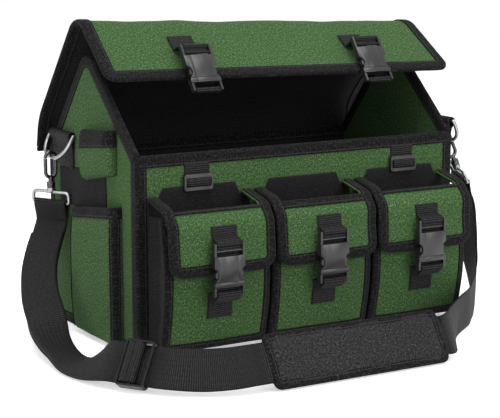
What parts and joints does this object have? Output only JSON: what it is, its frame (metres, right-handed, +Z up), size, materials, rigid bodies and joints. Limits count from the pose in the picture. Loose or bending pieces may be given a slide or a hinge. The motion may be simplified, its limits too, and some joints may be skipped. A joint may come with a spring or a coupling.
{
  "type": "tool bag",
  "caption": "Open canvas tool bag with a folding tent lid, buckled front pockets with open-topped flaps, end pockets and a clip-on padded shoulder strap.",
  "frame": {"origin": "on the floor under the middle of the case's base", "axes": "+X along the front towards the right end, -Y out of the front, +Z up"},
  "size_m": [0.6322, 0.472, 0.3911],
  "materials": {
    "green_canvas": "heathered heavy canvas with pale flecks",
    "binding_tape": "woven binding tape",
    "webbing": "ribbed webbing",
    "black_lining": "black lining cloth",
    "buckle_plastic": "moulded, satin",
    "nickel": "nickel plated",
    "black_metal": "black, satin"
  },
  "bodies": {
    "root": {"bottom_panel": "green_canvas", "base_board": "black_lining", "front_wall": "green_canvas", "back_wall": "black_lining", "left_end": "green_canvas", "right_end": "green_canvas", "rim_bindings": "binding_tape", "seam_bindings": "binding_tape", "pocket_fronts": "green_canvas", "pocket_gussets": "black_lining", "body_webbing": "webbing", "side_pockets": "green_canvas", "side_pocket_trim": "binding_tape", "ladder_locks": "buckle_plastic", "shoulder_strap": "webbing"},
    "lid_back": {"lid_back_panel": "green_canvas", "lid_back_binding": "binding_tape"},
    "lid_front": {"lid_front_panel": "green_canvas", "lid_front_binding": "binding_tape", "lid_straps": "webbing"},
    "lid_left_buckle": {"lid_left_socket": "buckle_plastic", "lid_left_plug": "buckle_plastic", "lid_left_tail": "webbing"},
    "lid_left_arm_left": {"lid_left_arm_left": "buckle_plastic"},
    "lid_left_arm_right": {"lid_left_arm_right": "buckle_plastic"},
    "lid_right_buckle": {"lid_right_socket": "buckle_plastic", "lid_right_plug": "buckle_plastic", "lid_right_tail": "webbing"},
    "lid_right_arm_left": {"lid_right_arm_left": "buckle_plastic"},
    "lid_right_arm_right": {"lid_right_arm_right": "buckle_plastic"},
    "pocket_1_cover": {"pocket_1_flap": "green_canvas", "pocket_1_flap_strap": "webbing", "pocket_1_socket": "buckle_plastic", "pocket_1_plug": "buckle_plastic"},
    "pocket_1_arm_left": {"pocket_1_arm_left": "buckle_plastic"},
    "pocket_1_arm_right": {"pocket_1_arm_right": "buckle_plastic"},
    "pocket_2_cover": {"pocket_2_flap": "green_canvas", "pocket_2_flap_strap": "webbing", "pocket_2_socket": "buckle_plastic", "pocket_2_plug": "buckle_plastic"},
    "pocket_2_arm_left": {"pocket_2_arm_left": "buckle_plastic"},
    "pocket_2_arm_right": {"pocket_2_arm_right": "buckle_plastic"},
    "pocket_3_cover": {"pocket_3_flap": "green_canvas", "pocket_3_flap_strap": "webbing", "pocket_3_socket": "buckle_plastic", "pocket_3_plug": "buckle_plastic"},
    "pocket_3_arm_left": {"pocket_3_arm_left": "buckle_plastic"},
    "pocket_3_arm_right": {"pocket_3_arm_right": "buckle_plastic"},
    "left_ring": {"left_d_ring": "nickel"},
    "left_eye": {"left_strap_eye": "nickel", "left_strap_end": "webbing"},
    "left_hook": {"left_snap_hook": "nickel"},
    "left_hook_gate": {"left_gate": "nickel"},
    "right_ring": {"right_d_ring": "nickel"},
    "right_eye": {"right_strap_eye": "nickel", "right_strap_end": "webbing"},
    "right_hook": {"right_snap_hook": "nickel"},
    "right_hook_gate": {"right_gate": "nickel"},
    "slider": {"strap_slider": "black_metal"},
    "pad": {"shoulder_pad": "black_lining"}
  },
  "joints": [
    {"name": "lid_hinge", "type": "hinge", "parent": "root", "child": "lid_back", "pos_m": [0, 0.1302, 0.221], "axis": [-1, 0, 0], "range_deg": [-4, 150]},
    {"name": "lid_fold", "type": "hinge", "parent": "lid_back", "child": "lid_front", "pos_m": [0, 0.00281, 0.39111], "axis": [-1, 0, 0], "range_deg": [0, 60]},
    {"name": "lid_left_buckle_swing", "type": "hinge", "parent": "lid_front", "child": "lid_left_buckle", "pos_m": [-0.125, -0.07587, 0.36338], "axis": [-1, 0, 0], "range_deg": [0, 60]},
    {"name": "lid_left_arm_left_flex", "type": "hinge", "parent": "lid_left_buckle", "child": "lid_left_arm_left", "pos_m": [-0.136, -0.10009, 0.32749], "axis": [0, 0.829, -0.5592], "range_deg": [0, 8], "stiffness_Nm_per_rad": 0.05, "springref_deg": -2.86},
    {"name": "lid_left_arm_right_flex", "type": "hinge", "parent": "lid_left_buckle", "child": "lid_left_arm_right", "pos_m": [-0.114, -0.10009, 0.32749], "axis": [0, -0.829, 0.5592], "range_deg": [0, 8], "stiffness_Nm_per_rad": 0.05, "springref_deg": -2.86},
    {"name": "lid_right_buckle_swing", "type": "hinge", "parent": "lid_front", "child": "lid_right_buckle", "pos_m": [0.125, -0.07587, 0.36338], "axis": [-1, 0, 0], "range_deg": [0, 60]},
    {"name": "lid_right_arm_left_flex", "type": "hinge", "parent": "lid_right_buckle", "child": "lid_right_arm_left", "pos_m": [0.114, -0.10009, 0.32749], "axis": [0, 0.829, -0.5592], "range_deg": [0, 8], "stiffness_Nm_per_rad": 0.05, "springref_deg": -2.86},
    {"name": "lid_right_arm_right_flex", "type": "hinge", "parent": "lid_right_buckle", "child": "lid_right_arm_right", "pos_m": [0.136, -0.10009, 0.32749], "axis": [0, -0.829, 0.5592], "range_deg": [0, 8], "stiffness_Nm_per_rad": 0.05, "springref_deg": -2.86},
    {"name": "pocket_1_flap_hinge", "type": "hinge", "parent": "root", "child": "pocket_1_cover", "pos_m": [-0.147, -0.1277, 0.19], "axis": [-1, 0, 0], "range_deg": [0, 75]},
    {"name": "pocket_1_arm_left_flex", "type": "hinge", "parent": "pocket_1_cover", "child": "pocket_1_arm_left", "pos_m": [-0.158, -0.1975, 0.0988], "axis": [0, 1, 0], "range_deg": [0, 8], "stiffness_Nm_per_rad": 0.05, "springref_deg": -2.86},
    {"name": "pocket_1_arm_right_flex", "type": "hinge", "parent": "pocket_1_cover", "child": "pocket_1_arm_right", "pos_m": [-0.136, -0.1975, 0.0988], "axis": [0, -1, 0], "range_deg": [0, 8], "stiffness_Nm_per_rad": 0.05, "springref_deg": -2.86},
    {"name": "pocket_2_flap_hinge", "type": "hinge", "parent": "root", "child": "pocket_2_cover", "pos_m": [0, -0.1277, 0.19], "axis": [-1, 0, 0], "range_deg": [0, 75]},
    {"name": "pocket_2_arm_left_flex", "type": "hinge", "parent": "pocket_2_cover", "child": "pocket_2_arm_left", "pos_m": [-0.011, -0.1975, 0.0988], "axis": [0, 1, 0], "range_deg": [0, 8], "stiffness_Nm_per_rad": 0.05, "springref_deg": -2.86},
    {"name": "pocket_2_arm_right_flex", "type": "hinge", "parent": "pocket_2_cover", "child": "pocket_2_arm_right", "pos_m": [0.011, -0.1975, 0.0988], "axis": [0, -1, 0], "range_deg": [0, 8], "stiffness_Nm_per_rad": 0.05, "springref_deg": -2.86},
    {"name": "pocket_3_flap_hinge", "type": "hinge", "parent": "root", "child": "pocket_3_cover", "pos_m": [0.147, -0.1277, 0.19], "axis": [-1, 0, 0], "range_deg": [0, 75]},
    {"name": "pocket_3_arm_left_flex", "type": "hinge", "parent": "pocket_3_cover", "child": "pocket_3_arm_left", "pos_m": [0.136, -0.1975, 0.0988], "axis": [0, 1, 0], "range_deg": [0, 8], "stiffness_Nm_per_rad": 0.05, "springref_deg": -2.86},
    {"name": "pocket_3_arm_right_flex", "type": "hinge", "parent": "pocket_3_cover", "child": "pocket_3_arm_right", "pos_m": [0.158, -0.1975, 0.0988], "axis": [0, -1, 0], "range_deg": [0, 8], "stiffness_Nm_per_rad": 0.05, "springref_deg": -2.86},
    {"name": "left_hanger_swing", "type": "hinge", "parent": "root", "child": "left_eye", "pos_m": [-0.2344, 0.08, 0.246], "axis": [0, 1, 0], "range_deg": [0, 10]},
    {"name": "left_ring_swing", "type": "hinge", "parent": "root", "child": "left_ring", "pos_m": [-0.2344, 0.076, 0.246], "axis": [0, 1, 0], "range_deg": [0, 10]},
    {"name": "left_hook_swivel", "type": "hinge", "parent": "left_eye", "child": "left_hook", "pos_m": [-0.24942, 0.08, 0.182], "axis": [0, 0, 1], "range_deg": [-15, 15]},
    {"name": "left_gate_hinge", "type": "hinge", "parent": "left_hook", "child": "left_hook_gate", "pos_m": [-0.25402, 0.08, 0.19825], "axis": [0, 1, 0], "range_deg": [0, 15], "stiffness_Nm_per_rad": 0.05, "springref_deg": -5.73},
    {"name": "right_hanger_swing", "type": "hinge", "parent": "root", "child": "right_eye", "pos_m": [0.2344, -0.09, 0.254], "axis": [0, -1, 0], "range_deg": [0, 10]},
    {"name": "right_ring_swing", "type": "hinge", "parent": "root", "child": "right_ring", "pos_m": [0.2344, -0.09, 0.254], "axis": [0, -1, 0], "range_deg": [0, 10]},
    {"name": "right_hook_swivel", "type": "hinge", "parent": "right_eye", "child": "right_hook", "pos_m": [0.26453, -0.09, 0.19335], "axis": [-0.4226, 0, 0.9063], "range_deg": [-15, 15]},
    {"name": "right_gate_hinge", "type": "hinge", "parent": "right_hook", "child": "right_hook_gate", "pos_m": [0.26183, -0.09, 0.21002], "axis": [0, -1, 0], "range_deg": [0, 15], "stiffness_Nm_per_rad": 0.05, "springref_deg": -5.73},
    {"name": "slider_slide", "type": "slide", "parent": "root", "child": "slider", "axis": [0.5547, -0.8321, 0], "range_m": [-0.008, 0.008]},
    {"name": "pad_slide", "type": "slide", "parent": "root", "child": "pad", "axis": [1, 0, 0], "range_m": [-0.015, 0.015]}
  ],
  "couplings": [
    {"joint": "lid_left_arm_right_flex", "follows": "lid_left_arm_left_flex", "ratio": 1},
    {"joint": "lid_right_arm_right_flex", "follows": "lid_right_arm_left_flex", "ratio": 1},
    {"joint": "pocket_1_arm_right_flex", "follows": "pocket_1_arm_left_flex", "ratio": 1},
    {"joint": "pocket_2_arm_right_flex", "follows": "pocket_2_arm_left_flex", "ratio": 1},
    {"joint": "pocket_3_arm_right_flex", "follows": "pocket_3_arm_left_flex", "ratio": 1},
    {"joint": "left_ring_swing", "follows": "left_hanger_swing", "ratio": 1},
    {"joint": "right_ring_swing", "follows": "right_hanger_swing", "ratio": 1}
  ]
}
